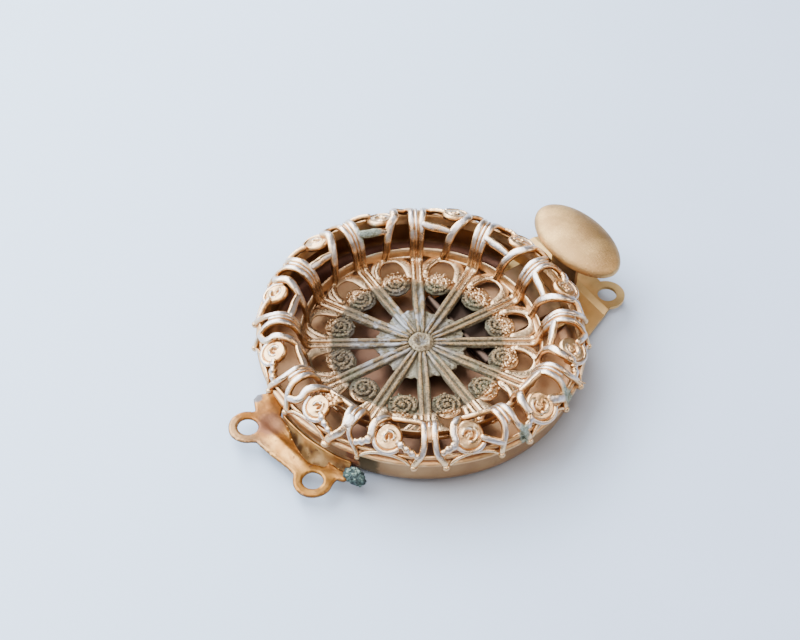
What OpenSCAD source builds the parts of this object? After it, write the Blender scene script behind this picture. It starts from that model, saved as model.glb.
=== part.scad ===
// Round filigree box clasp for two strands, with the tongue fastened.
// Z runs up from the surface that the box lies on, and X is the way the tongue pulls out.

/* [Box pan] */
// Outer radius of the round box
pan_r = 9.95; // [9.85:0.05:10]
// Height of the box wall
pan_h = 2.1; // [2:0.05:2.1]
// Radius of the drawn corner under the wall
pan_corner_r = 0.9; // [0.7:0.1:1]
// Thickness of the box's sheet
pan_t = 0.25; // [0.2:0.01:0.25]

/* [Filigree cup] */
// Height of the cup's underside over the surface
cup_floor_z = 1.2; // [1.2:0.01:1.25]
// Radius of the cup's flat floor, at the foot of the rim's inner wall
cup_floor_r = 7.35; // [7.2:0.05:7.4]
// Radius of the rim's crest
rim_crest_r = 8.75; // [8.65:0.05:8.85]
// Height of the rim's crest, at the middle of a rib
rim_crest_z = 3.85; // [3.7:0.05:3.95]
// Radius of the rim's outer edge
rim_edge_r = 10.4; // [10.35:0.05:10.45]
// Radius of the circle of scroll buttons
button_ring_r = 9.3; // [9.2:0.05:9.4]
// Radius of a scroll button
button_r = 0.78; // [0.7:0.02:0.8]
// Turn of the first button from the pull axis, in degrees
cup_turn = 12; // [9:1:15]

/* [End plates] */
// Distance between the two eyelets of an end
eyelet_spacing = 5.6; // [5.5:0.02:5.7]
// Radius of an eyelet's hole
eyelet_r = 0.62; // [0.56:0.02:0.68]
// Radius of the ear round an eyelet
ear_r = 1.15; // [1.1:0.05:1.2]
// Thickness of the end plates
plate_t = 0.25; // [0.22:0.01:0.26]
// Distance of the fixed end's eyelets from the middle of the box
fixed_reach = 12.05; // [12:0.05:12.2]
// Turn of the fixed end from straight opposite the tongue, in degrees
fixed_turn = 10.5; // [8:0.5:12]
// Distance of the tongue's eyelets from the middle of the box
tongue_reach = 12.8; // [12.7:0.05:13]

/* [Spring and thumb press] */
// Width of the tongue inside the box
tongue_w = 6.4; // [6:0.1:6.4]
// Width of the spring leaf
leaf_w = 4.4; // [3:0.2:5]
// Distance of the spring's fold from the middle of the box
fold_x = 3; // [2.5:0.1:4]
// Rise of the leaf from the fold to the slot, in degrees
leaf_rise = 2.3; // [2.2:0.1:2.4]
// Half width of the oval press, along the pull axis
press_a = 2.05; // [1.95:0.05:2.1]
// Half length of the oval press
press_b = 3.6; // [3.4:0.1:3.8]
// Height of the oval's dome
press_dome = 0.9; // [0.8:0.05:1]
// Distance of the oval's middle from the middle of the box
press_x = 12.2; // [12.2:0.05:12.4]
// Height of the oval's edge over the surface
press_z = 3.55; // [3.5:0.05:3.65]

/* [Hidden] */

fit_gap = 0.05;
sectors = 12;
sector_turn = 360 / sectors;
pan_inner_r = pan_r - pan_t;

// Heights of the sheets that run through the box's slots
tongue_z = pan_t + fit_gap;
tongue_t = 0.22;
tongue_ear_z = 0.5;
fixed_z = 0.95;
leaf_t = 0.2;
slot_top_z = 1.13;

// The fold at the tongue's inner end, a curl round the end of the spring leaf
fold_pin_r = 0.11;
fold_hole_r = fold_pin_r + fit_gap;
fold_r = 0.4;
fold_z = tongue_z + fold_r;

// The filigree's wires and bosses
floor_wire_z = cup_floor_z + 0.14;
floor_web_t = 0.2;
foot_w = 0.3;
foot_h = 0.26;
rib_half_w = 0.42;
rib_h = 0.2;
wire_r = 0.15;
tail_r = 0.16;
knob_r = 0.24;
knob_drop = 0.08;
rim_end_a = 160;
rim_h = rim_crest_z - floor_wire_z;
rosette_ring_r = 5;
rosette_r = 1.08;
rosette_h = 0.24;
arch_half = 1.25;
arch_start_r = 5.7;
hub_r = 0.85;
hub_h = 0.42;
hub_dimple_r = 0.34;
hub_web_r = 2.5;
rail_in_r = 9.72;
rail_out_r = 10.2;
rail_z = pan_h + 0.02;
rail_h = 0.25;
button_t = 0.26;
button_boss = [0.35, 0.46];
button_tilt = 27;
button_z = 3.42;
// Points of a tail: radius, offset from the button to the side, height
tail_path = concat(
    [[button_ring_r + 0.1, -0.72, button_z], [button_ring_r - 0.5, -0.86, rim_crest_z - 0.2]],
    [for (q = [[84, -0.82], [60, -0.67], [30, -0.57]])
        let (p = rim_point(q[0])) [p[0], q[1], p[1]]],
    [[cup_floor_r, -0.52, cup_floor_z + 0.15]]
);
// Points of a strut: radius, and its turn towards the rib beside the button
strut_path = [[9.75, 3], [10.05, 8], [10.22, sector_turn / 2 - 1]];
strut_lift = 0.05;

// A point of the rim's section: two quarter ellipses that meet at the crest
function rim_point(a) = [
    rim_crest_r - cos(a) * (a < 90 ? rim_crest_r - cup_floor_r : rim_edge_r - rim_crest_r),
    floor_wire_z + rim_h * sin(a)
];
// The angle on the rim's outer half at a given radius
function rim_a_at(r) = acos((rim_crest_r - r) / (rim_edge_r - rim_crest_r));
// A point over the outer half of the rim, at radius r and turned by t from the button
function on_rim(r, t) = let (z = rim_point(rim_a_at(r))[1] + strut_lift)
    [r * cos(t), r * sin(t), z];

function unit(v) = v / norm(v);
// The direction of a path at its i-th point
function heading(p, i) = unit(p[min(i + 1, len(p) - 1)] - p[max(i - 1, 0)]);

// Faces of a closed tube of ring_n rings with side_n corners each
function tube_faces(ring_n, side_n) = concat(
    [[for (j = [side_n - 1 : -1 : 0]) j]],
    [for (i = [0 : ring_n - 2], j = [0 : side_n - 1]) let (k = (j + 1) % side_n)
        [i * side_n + j, i * side_n + k, (i + 1) * side_n + k, (i + 1) * side_n + j]],
    [[for (j = [0 : side_n - 1]) (ring_n - 1) * side_n + j]]
);

// A round wire along the points p; up is a direction that the wire never takes
module wire(p, r, up = [0, 0, 1], sides = 5) {
    rings = [for (i = [0 : len(p) - 1])
        let (t = heading(p, i), u = unit(cross(t, up)), v = cross(u, t))
        for (j = [0 : sides - 1]) let (a = 360 * j / sides) p[i] + r * (cos(a) * u + sin(a) * v)];
    polyhedron(rings, tube_faces(len(p), sides), convexity = 4);
}

// Two ridges with a groove between them: across the rib, and out from it. The groove runs
// out at the rib's two ends, where mid is the height of its middle
function rib_section(mid) = [
    [-rib_half_w, -0.1], [-rib_half_w, 0.08], [-0.26, rib_h], [0, mid],
    [0.26, rib_h], [rib_half_w, 0.08], [rib_half_w, -0.1]
];
groove_h = 0.02;
ridge_join_h = rib_h + 0.02;
// Radius, height, width share and middle of a spoke and of the rib that it turns into
rib_path = concat(
    [[0.5, floor_wire_z, 0.4, ridge_join_h], [1, floor_wire_z, 0.42, groove_h]],
    [[cup_floor_r - 0.12, floor_wire_z, 0.85, groove_h]],
    [for (a = [14, 34, 56, 78, 100, 122, 142])
        let (q = rim_point(a)) [q[0], q[1], 1, groove_h]],
    [let (q = rim_point(rim_end_a)) [q[0], q[1], 0.8, ridge_join_h]]
);
function rib_point(i) = [rib_path[i][0], rib_path[i][1]];
function rib_heading(i) = unit(
    rib_point(min(i + 1, len(rib_path) - 1)) - rib_point(max(i - 1, 0)));

// A spoke that runs from the hub to the rim, up its inner wall and over to its edge
module rib() {
    rings = [for (i = [0 : len(rib_path) - 1])
        let (p = rib_path[i], h = rib_heading(i))
        for (s = rib_section(p[3])) [p[0] - h[1] * s[1], s[0] * p[2], p[1] + h[0] * s[1]]];
    polyhedron(rings, tube_faces(len(rib_path), 7), convexity = 4);
    edge = rim_point(rim_end_a);
    translate([edge[0], 0, edge[1] - knob_drop]) sphere(r = knob_r, $fn = 8);
}

// The spiral disc between two ribs
module scroll_button() {
    translate([button_ring_r, 0, button_z]) rotate([0, button_tilt, 0]) {
        cylinder(r = button_r, h = button_t, center = true, $fn = 14);
        cylinder(r = button_boss[0], h = button_boss[1], center = true, $fn = 8);
    }
}

// The wire that leaves the button clockwise and turns down the rim's inner wall
module tail() {
    wire(tail_path, tail_r, up = [0, 1, 0]);
}

// The two slanting wires from the button to the outer ends of the ribs beside it
module struts() {
    for (side = [-1, 1])
        wire([for (q = strut_path) on_rim(q[0], side * q[1])], wire_r, up = [1, 0, 1]);
}

// The coiled disc on the floor and the arched wire outside it
module rosette() {
    translate([rosette_ring_r, 0, cup_floor_z]) {
        cylinder(r = rosette_r, h = rosette_h, $fn = 12);
        cylinder(r = rosette_r / 2, h = rosette_h * 1.5, $fn = 8);
    }
    arch_rise = cup_floor_r - foot_w - arch_start_r;
    wire([for (a = [0 : 36 : 180])
        [arch_start_r + arch_rise * sin(a), -arch_half * cos(a), floor_wire_z]], wire_r);
}

module ring(r_in, r_out, z, h, fn) {
    translate([0, 0, z]) difference() {
        cylinder(r = r_out, h = h, $fn = fn);
        translate([0, 0, -1]) cylinder(r = r_in, h = h + 2, $fn = fn);
    }
}

module filigree_cup() {
    color([0.82, 0.62, 0.38]) {
        difference() {
            union() {
                translate([0, 0, cup_floor_z]) cylinder(r = hub_web_r, h = floor_web_t, $fn = 36);
                translate([0, 0, cup_floor_z]) cylinder(r = hub_r, h = hub_h, $fn = 16);
            }
            translate([0, 0, cup_floor_z + hub_h - 0.15]) cylinder(r = hub_dimple_r, h = 1, $fn = 8);
        }
        ring(cup_floor_r - foot_w, cup_floor_r + 0.05, cup_floor_z, foot_h, 48);
        ring(rail_in_r, rail_out_r, rail_z, rail_h, 60);
        for (k = [0 : sectors - 1]) rotate(cup_turn + k * sector_turn) {
            scroll_button();
            tail();
            struts();
            rosette();
            rotate(sector_turn / 2) rib();
        }
    }
}

// A flat-topped round with a drawn corner below, for the pan and its hollow
module drawn_round(r, corner, h) {
    rotate_extrude($fn = 96) {
        square([r - corner, h]);
        translate([0, corner]) square([r, h - corner]);
        intersection() {
            translate([r - corner, corner]) circle(r = corner, $fn = 48);
            square([r, corner]);
        }
    }
}

module pan() {
    slot_floor_z = tongue_z - 0.03;
    slot_start = pan_r - 1.2;
    tongue_slot_w = tongue_w + 0.2;
    fixed_slot_w = 7.6;
    color([0.74, 0.60, 0.42]) difference() {
        drawn_round(pan_r, pan_corner_r, pan_h);
        translate([0, 0, pan_t]) drawn_round(pan_inner_r, pan_corner_r - pan_t, pan_h);
        translate([slot_start, -tongue_slot_w / 2, slot_floor_z])
            cube([3, tongue_slot_w, slot_top_z - slot_floor_z]);
        rotate(180 + fixed_turn)
            translate([slot_start, -fixed_slot_w / 2, fixed_z - fit_gap])
                cube([3, fixed_slot_w, plate_t + 2 * fit_gap]);
    }
}

// The ears and the body of an end plate, seen from above; base and waist are corners on
// one side, each with its distance from the middle of the box and its half width
module plate_outline(reach, edge, base, waist) {
    half = eyelet_spacing / 2;
    neck = ear_r * 0.7;
    polygon([
        [base[0], -base[1]], [waist[0], -waist[1]], [reach, -half - neck], [edge, -half + 0.5],
        [edge, half - 0.5], [reach, half + neck], waist, base
    ]);
    for (side = [-1, 1]) translate([reach, side * half]) circle(r = ear_r, $fn = 40);
}

module eyelet_holes(reach) {
    for (side = [-1, 1])
        translate([reach, side * eyelet_spacing / 2, -1]) cylinder(r = eyelet_r, h = 4, $fn = 40);
}

// The fixed end: a flat sheet with a rolled ridge, a window and a tab inside the box
module end_plate() {
    base = [10.35, 4.15];
    waist = [11, 3.3];
    tab = [7.5, 3.75];
    ridge_x = 11.6;
    ridge_half = 2;
    ridge_r = 0.5;
    ridge_rise = 0.22;
    skin = 0.05;
    window = [
        [9.9, -1.2], [10.15, -1.15], [10.8, -0.35], [11.2, 0.55], [11.3, 1.7], [11.3, 2.55],
        [10.5, 2.45], [9.9, 2.45]
    ];
    color([0.80, 0.52, 0.28]) rotate(180 + fixed_turn) difference() {
        union() {
            translate([0, 0, fixed_z]) linear_extrude(plate_t) {
                difference() {
                    union() {
                        plate_outline(fixed_reach, fixed_reach + 0.45, base, waist);
                        translate([base[0] - 1.5, -base[1]]) square([1.5, 2 * base[1]]);
                    }
                    circle(r = pan_r + 0.02, $fn = 96);
                }
                translate([tab[0], -tab[1]]) square([3, 2 * tab[1]]);
            }
            intersection() {
                translate([ridge_x, 0, fixed_z + plate_t + ridge_rise - ridge_r])
                    rotate([90, 0, 0])
                    cylinder(r = ridge_r, h = 2 * ridge_half, center = true, $fn = 40);
                translate([ridge_x - 1, -ridge_half, fixed_z]) cube([2, 2 * ridge_half, 1]);
            }
        }
        translate([ridge_x, 0, fixed_z + ridge_rise - ridge_r - skin]) rotate([90, 0, 0])
            cylinder(r = ridge_r, h = 2 * ridge_half - 0.4, center = true, $fn = 40);
        translate([0, 0, fixed_z - 1]) linear_extrude(3) polygon(window);
        eyelet_holes(fixed_reach);
    }
}

// The tongue seen from the side: low through the box, and raised at the ears
module tongue_side() {
    step = [11.6, 12];
    far = 15;
    polygon([
        [fold_x, tongue_z], [step[0], tongue_z], [step[1], tongue_ear_z], [far, tongue_ear_z],
        [far, tongue_ear_z + tongue_t], [step[1], tongue_ear_z + tongue_t],
        [step[0], tongue_z + tongue_t], [fold_x, tongue_z + tongue_t]
    ]);
}

module along_y(w) {
    translate([0, w / 2, 0]) rotate([90, 0, 0]) linear_extrude(w) children();
}

module tongue_plate() {
    base = [8.9, 5.1];
    waist = [11.2, 4.15];
    color([0.77, 0.63, 0.44]) difference() {
        union() {
            intersection() {
                along_y(14) tongue_side();
                linear_extrude(3) {
                    difference() {
                        plate_outline(tongue_reach, tongue_reach + 0.35, base, waist);
                        circle(r = pan_r + 0.2, $fn = 96);
                    }
                    translate([fold_x, -tongue_w / 2]) square([9, tongue_w]);
                }
            }
            translate([fold_x, 0, fold_z]) rotate([90, 0, 0])
                cylinder(r = fold_r, h = tongue_w, center = true, $fn = 40);
        }
        translate([fold_x, 0, fold_z]) rotate([90, 0, 0])
            cylinder(r = fold_hole_r, h = tongue_w + 1, center = true, $fn = 40);
        translate([fold_x, -tongue_w, tongue_z + tongue_t]) cube([2, 2 * tongue_w, 2]);
        eyelet_holes(tongue_reach);
    }
}

// The leaf seen from the side: up from the fold, out through the slot and up the neck
module leaf_side() {
    neck_x = 11.3;
    neck_top_z = press_z + 0.1;
    run = neck_x - fold_x;
    rise = run * tan(leaf_rise);
    half = leaf_t / 2;
    polygon([
        [fold_x, fold_z - half], [neck_x + leaf_t, fold_z + rise - half],
        [neck_x + leaf_t, neck_top_z], [neck_x, neck_top_z],
        [neck_x, fold_z + rise + half], [fold_x, fold_z + half]
    ]);
}

module oval(a, b, h) {
    linear_extrude(h) scale([1, b / a]) circle(r = a, $fn = 96);
}

module spring_leaf() {
    pad_t = 0.2;
    neck_w = 2.4;
    color([0.72, 0.55, 0.34]) {
        intersection() {
            along_y(leaf_w) leaf_side();
            translate([0, -leaf_w / 2, 0]) cube([10.8, leaf_w, 3]);
        }
        along_y(neck_w) intersection() {
            leaf_side();
            translate([10, 0]) square([4, 4]);
        }
        translate([fold_x, 0, fold_z]) rotate([90, 0, 0])
            cylinder(r = fold_pin_r, h = leaf_w, center = true, $fn = 32);
        translate([press_x, 0, press_z + fit_gap]) oval(press_a - 0.42, press_b - 0.45, pad_t);
    }
}

// Half of an egg shape over the press's edge
module press_dome_half(a, b, h) {
    translate([press_x, 0, press_z]) intersection() {
        scale([a, b, h]) sphere(r = 1, $fn = 96);
        translate([-a - 1, -b - 1, 0]) cube([2 * a + 2, 2 * b + 2, h + 1]);
    }
}

module thumb_press() {
    shell_t = 0.2;
    lip_w = 0.6;
    lip_t = 0.12;
    color([0.78, 0.66, 0.48]) {
        difference() {
            press_dome_half(press_a, press_b, press_dome);
            press_dome_half(press_a - shell_t, press_b - shell_t, press_dome - shell_t);
        }
        translate([press_x, 0, press_z - lip_t]) difference() {
            oval(press_a, press_b, lip_t);
            translate([0, 0, -1]) oval(press_a - lip_w, press_b - lip_w, 2);
        }
    }
}

pan();
filigree_cup();
end_plate();
tongue_plate();
spring_leaf();
thumb_press();
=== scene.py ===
import bpy
import numpy as np
from mathutils import Matrix, Vector


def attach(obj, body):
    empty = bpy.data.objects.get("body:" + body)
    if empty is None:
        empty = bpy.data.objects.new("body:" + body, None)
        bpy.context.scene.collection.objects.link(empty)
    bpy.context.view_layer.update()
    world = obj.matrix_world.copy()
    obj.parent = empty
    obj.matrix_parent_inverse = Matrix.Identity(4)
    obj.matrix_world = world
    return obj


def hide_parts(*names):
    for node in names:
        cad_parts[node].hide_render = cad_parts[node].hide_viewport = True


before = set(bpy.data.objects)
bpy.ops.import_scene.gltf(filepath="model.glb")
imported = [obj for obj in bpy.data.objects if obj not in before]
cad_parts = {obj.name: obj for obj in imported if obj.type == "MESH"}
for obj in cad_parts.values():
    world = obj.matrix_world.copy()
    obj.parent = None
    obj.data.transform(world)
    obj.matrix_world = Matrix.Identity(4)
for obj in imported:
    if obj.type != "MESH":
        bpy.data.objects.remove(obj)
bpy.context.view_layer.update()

# The clasp lies on a plain pale table, on the flat underside of its box. Daylight comes softly from the far
# left and from above. The table's colour is painted lighter towards that side, and a faint, warmer painted
# shadow lies on it at the near right.

MM = 0.001


class Tap:
    """A socket in a finish. Sums and products of taps and numbers add Math nodes."""

    def __init__(self, finish, socket):
        self.finish, self.socket = finish, socket

    def maths(self, operation, *terms):
        """One Math node with this kind of operation on the terms."""
        return self.finish.node("Math", {"operation": operation}, dict(enumerate(terms)))

    def __add__(self, other):
        return self.maths("ADD", self, other)

    def __sub__(self, other):
        return self.maths("SUBTRACT", self, other)

    def __rsub__(self, other):
        return self.maths("SUBTRACT", other, self)

    def __mul__(self, other):
        return self.maths("MULTIPLY", self, other)

    __radd__, __rmul__ = __add__, __mul__

    def __truediv__(self, other):
        return self.maths("DIVIDE", self, other)

    def __pow__(self, other):
        return self.maths("POWER", self, other)

    def bounded(self):
        """The value held between 0 and 1."""
        return self.finish.node("Clamp", {}, {"Value": self})

    def between(self, low, high):
        """A smooth step: 0 where the value is below low, 1 where it is above high."""
        return self.finish.node(
            "MapRange",
            {"interpolation_type": "SMOOTHSTEP"},
            {"Value": self, "From Min": low, "From Max": high},
        )

    def below(self, low, high):
        """A smooth step down: 1 where the value is below low, 0 where it is above high."""
        return 1 - self.between(low, high)

    def hill(self, foot, top, brow, end):
        """A smooth hill: 1 from top to brow, 0 before its foot and after its end."""
        return self.between(foot, top) * self.below(brow, end)


class Finish:
    """A procedural material. Its place is the object's own coordinates, in millimetres."""

    def __init__(self, name, metallic=1.0):
        self.material = bpy.data.materials.new(name)
        self.material.use_nodes = True
        self.tree = self.material.node_tree
        self.shader = self.tree.nodes["Principled BSDF"]
        self.wear(metallic=metallic)
        self.place = self.vector("MULTIPLY", self.node("TexCoord", {}, {}, "Object"), (1 / MM,) * 3)

    def feed(self, socket, value):
        """Links a tap to a socket, or sets a number or colour on it."""
        if isinstance(value, Tap):
            self.tree.links.new(value.socket, socket)
        else:
            socket.default_value = value

    def node(self, kind, settings, inputs, output=0):
        """Any node: its settings first, then its sockets' values or links."""
        made = self.tree.nodes.new("ShaderNode" + kind)
        for name, value in settings.items():
            setattr(made, name, value)
        for name, value in inputs.items():
            self.feed(made.inputs[name], value)
        return Tap(self, made.outputs[output])

    def vector(self, operation, *terms):
        """A Vector Math node on one or two terms."""
        output = "Value" if operation in ("LENGTH", "DOT_PRODUCT") else "Vector"
        return self.node("VectorMath", {"operation": operation}, dict(enumerate(terms)), output)

    def axis(self, index):
        """One coordinate of the place, in millimetres: 0, 1 or 2."""
        return self.node("SeparateXYZ", {}, {"Vector": self.place}, index)

    def stretched(self, x, y, z):
        """The place with each coordinate multiplied by its own number."""
        return self.vector("MULTIPLY", self.place, (x, y, z))

    def from_axis(self):
        """The distance from the clasp's upright middle line, in millimetres."""
        return self.vector("LENGTH", self.stretched(1, 1, 0))

    def along(self, way):
        """How far the place lies along a direction, in millimetres."""
        return self.vector("DOT_PRODUCT", self.place, way)

    def facing(self, way):
        """The cosine between a level direction and the way out from the middle line."""
        return self.vector("DOT_PRODUCT", self.vector("NORMALIZE", self.stretched(1, 1, 0)), way)

    def noise(self, scale, detail=3.0, roughness=0.55, place=None):
        """Cloudy noise round 0.5, with scale in waves to a millimetre."""
        place = self.place if place is None else place
        inputs = {"Vector": place, "Scale": scale, "Detail": detail, "Roughness": roughness}
        return self.node("TexNoise", {}, inputs, "Fac")

    def mix(self, share, first, second):
        """Two colours mixed; share 0 gives the first one."""
        first, second = (c if isinstance(c, Tap) else (*c, 1) for c in (first, second))
        return self.node("Mix", {"data_type": "RGBA"}, {0: share, 6: first, 7: second}, 2)

    def layers(self, colour, *upper):
        """A colour with others laid over it in turn, each given as its share and itself."""
        for share, shade in upper:
            colour = self.mix(share, colour, shade)
        return colour

    def gathered(self, x, y, z):
        """Three taps as one place, for a pattern in other coordinates."""
        return self.node("CombineXYZ", {}, {0: x, 1: y, 2: z})

    def note(self, name):
        """A number kept on the piece's own points."""
        return self.node("Attribute", {"attribute_name": name}, {}, "Fac")

    def bump(self, height, depth):
        """Relief of that depth, in millimetres, for a height from 0 to 1."""
        normal = self.node("Bump", {}, {"Height": height, "Distance": depth * MM}, "Normal")
        self.feed(self.shader.inputs["Normal"], normal)

    def wear(self, **channels):
        """Feeds the shader's channels, named with underscores for spaces."""
        for name, value in channels.items():
            self.feed(self.shader.inputs[name.replace("_", " ").title()], value)


def new_object(name, data):
    """A new object, already in the scene."""
    made = bpy.data.objects.new(name, data)
    bpy.context.scene.collection.objects.link(made)
    return made


table_half = 600 * MM
table = bpy.data.meshes.new("table")
corner_signs = ((-1, -1), (1, -1), (1, 1), (-1, 1))
table.from_pydata([(x * table_half, y * table_half, 0) for x, y in corner_signs], [], [(0, 1, 2, 3)])
table_object = new_object("table", table)
stone = Finish("pale_table", metallic=0.0)
lit_way = (-0.54, 0.84, 0)
lee_way = (0.54, -0.84, 0)
# Painted light and shade on the table: its colour grows lighter towards the lamps' side, and a soft painted
# shadow darkens and warms it close to the clasp on the lee side.
clouds = stone.noise(0.045, 4).between(0.35, 0.7)
close_by = stone.from_axis().below(9.4, 19)
painted_lee_shadow = close_by * close_by * stone.facing(lee_way).between(-0.5, 0.5)
painted_lit_colour = stone.mix(stone.along(lit_way).between(-36, 44), (0.465, 0.54, 0.70), (0.65, 0.795, 1.0))
painted_shadow_colour = stone.mix(painted_lee_shadow, painted_lit_colour, (0.37, 0.385, 0.43))
cloud_colour_with_shadow = stone.mix(painted_lee_shadow, (0.60, 0.71, 0.89), (0.40, 0.41, 0.45))
stone.wear(base_color=stone.mix(clouds * 0.2, painted_shadow_colour, cloud_colour_with_shadow), roughness=0.55)
table.materials.append(stone.material)

world = bpy.data.worlds.new("daylight")
bpy.context.scene.world = world
world.use_nodes = True
sky = world.node_tree.nodes["Background"]
sky.inputs["Color"].default_value = (0.85, 0.88, 0.95, 1)
sky.inputs["Strength"].default_value = 0.21

# Level directions as the camera sees them: to the right, and away from the camera
view_turn = np.radians(38)
view_rise = np.radians(48.33)
to_right = np.array([np.cos(view_turn), -np.sin(view_turn), 0])
to_back = np.array([np.sin(view_turn), np.cos(view_turn), 0])
upward = np.array([0, 0, 1.0])


def add_lamp(name, across, away, height, size, energy, colour):
    """A square lamp aimed at the clasp; its place is in millimetres as the camera sees it."""
    light = bpy.data.lights.new(name, "AREA")
    light.shape = "RECTANGLE"
    light.size, light.size_y = size[0] * MM, size[1] * MM
    light.energy, light.color = energy, colour
    place = Vector((across * to_right + away * to_back + height * upward) * MM)
    turned = place.to_track_quat("Z", "Y").to_matrix().to_4x4()
    new_object(name, light).matrix_world = Matrix.Translation(place) @ turned


add_lamp("window", -620, 290, 600, (1200, 1000), 42.0, (0.82, 0.918, 1.0))
add_lamp("far_window", -260, 620, 330, (260, 200), 4.0, (0.90, 0.94, 1.0))
add_lamp("ceiling", -60, -60, 820, (430, 430), 4.0, (0.97, 0.98, 1.0))
add_lamp("right_wall", 560, 40, 470, (420, 260), 2.0, (1.0, 0.90, 0.79))
add_lamp("room", -60, -470, 560, (800, 420), 2.9, (1.0, 0.93, 0.86))

camera_distance = 113.2
aim_height = 3.5
camera_roll = np.radians(3.21)
focal_pixels = 1841.5
picture_width = 800
aim_pixel = (422.6, 320.6)
picture_middle = (400, 320)
lens_width = 36
camera_data = bpy.data.cameras.new("camera")
camera_data.sensor_width = lens_width
camera_data.lens = focal_pixels / picture_width * lens_width
camera_data.shift_x = (picture_middle[0] - aim_pixel[0]) / picture_width
camera_data.shift_y = (aim_pixel[1] - picture_middle[1]) / picture_width
camera_data.clip_start = 0.005
camera = new_object("camera", camera_data)
bpy.context.scene.camera = camera
to_camera = -to_back * np.cos(view_rise) + upward * np.sin(view_rise)
picture_up = np.cross(to_camera, to_right)
turned = Matrix(np.stack([to_right, picture_up, to_camera], 1).tolist()).to_4x4()
stand = Vector((to_camera * camera_distance + upward * aim_height) * MM)
camera.matrix_world = Matrix.Translation(stand) @ turned @ Matrix.Rotation(camera_roll, 4, "Z")

# The box is a plain round pan, drawn from thin brass sheet and gilt, with a rounded corner
# below. The tongue runs in through a slot on one side and the fixed end through another.

drawn = Finish("drawn_gilt_sheet")


def blot(finish, centre, radius, ragged, first=0, second=1):
    """A soft-edged round stain over two coordinates: 1 at its centre, 0 outside its radius."""
    across = (finish.axis(first) - centre[0]) ** 2 + (finish.axis(second) - centre[1]) ** 2
    return (across / radius**2 + (ragged - 0.5) * 0.9).below(0.3, 1.1)


def dress(node, finish):
    """Puts a finish on a CAD node in place of its plain one."""
    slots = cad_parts[node].data.materials
    slots.clear()
    slots.append(finish.material)


# Level ways in the photo: away from the camera, towards it, and to the right
far_way = (0.616, 0.788, 0)
near_way = (-0.616, -0.788, 0)
right_way = (0.788, -0.616, 0)
pan_height = drawn.axis(2)
pan_radius = drawn.from_axis()
streaks = drawn.noise(1.0, 4, place=drawn.stretched(2.2, 2.2, 0.5))
haze = drawn.noise(0.55, 3)
scuffs = drawn.noise(3.5, 4)
smear = blot(drawn, (-8.1, -5.9), 0.75, scuffs)
reddened = blot(drawn, (-8.65, -5.05), 0.5, scuffs)
wall_colour = drawn.layers(
    drawn.mix(haze.between(0.35, 0.7), (0.365, 0.208, 0.100), (0.47, 0.285, 0.14)),
    (streaks.between(0.55, 0.75) * 0.35, (0.30, 0.18, 0.10)),
    (reddened * 0.7, (0.23, 0.07, 0.035)),
    (smear * 0.75, (0.06, 0.055, 0.03)),
)
# Painted shade on the pan's floor, seen through the cup's openwork: darker under the middle of the cup, at
# its far and near sides and towards the left, and darkest low at the far side.
painted_shade_middle = pan_radius.below(4.0, 5.7)
painted_shade_far_side = drawn.along(far_way).between(0.5, 4.5) * pan_radius.between(7.5, 8.7)
painted_shade_near_side = drawn.facing(near_way).between(0.68, 0.92) * pan_radius.between(5.6, 7.0)
painted_shade_left = drawn.along(right_way).below(-7.0, 1.0)
low_down = pan_height.below(2.0, 2.5)
shade = painted_shade_middle * 0.74 + painted_shade_far_side * low_down * 0.9 + painted_shade_near_side * 0.78 + painted_shade_left * 0.2
floor_colour = drawn.layers(
    drawn.mix(haze.between(0.3, 0.7), (0.52, 0.26, 0.12), (0.67, 0.385, 0.195)),
    (shade.bounded(), (0.155, 0.075, 0.054)),
    (painted_shade_far_side * low_down * 0.7, (0.07, 0.03, 0.022)),
    (scuffs.between(0.6, 0.72) * 0.3, (0.16, 0.07, 0.04)),
)
inside = pan_radius.below(9.55, 9.72)
drawn.bump(streaks * 0.7 + scuffs * 0.3, 0.014)
drawn.wear(
    base_color=drawn.mix(inside, wall_colour, floor_colour),
    roughness=0.26 + haze * 0.2 + inside * 0.12 + smear * 0.3,
)
dress("pan", drawn)

# The filigree cup is one openwork casting: a floor of twelve grooved spokes round a small
# boss, with a coiled rosette between each pair and a window outside every rosette. It is
# gilt, and old glue and tarnish fill the floor where the stones once sat.

sectors = 12
sector_turn = 30
button_turn = 12
cup_under = 1.2
foot_radius = 7.35
crest_radius = 8.75
crest_height = 3.85
edge_radius = 10.4
wire_height = 1.34
rim_rise = crest_height - wire_height
chance = np.random.default_rng(7)


def full_turn(count):
    """The angles of one whole turn, as a row."""
    return np.linspace(0, 2 * np.pi, count, endpoint=False)[None, :]


def points_at(x, y, z):
    """Points from their three coordinates, each of them a number or an array."""
    return np.stack(np.broadcast_arrays(x, y, z), -1)


def around(radius, turn, height):
    """Points given by radius, angle and height, each of them a number or an array."""
    return points_at(radius * np.cos(turn), radius * np.sin(turn), height)


def woven(rows, columns):
    """Quads over a grid of points whose last column joins the first."""
    i = np.arange(rows - 1)[:, None] * columns
    j = np.arange(columns)[None, :]
    k = (j + 1) % columns
    return np.stack([i + j, i + k, i + k + columns, i + j + columns], -1).reshape(-1, 4)


def six_volumes(points, quads):
    """The sum of p.(q x r) over the quads' triangles, below 0 where they face inwards."""
    a, b, c, d = (points[quads[:, n]] for n in range(4))
    return np.sum(a * np.cross(b, c)) + np.sum(a * np.cross(c, d))


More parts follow.
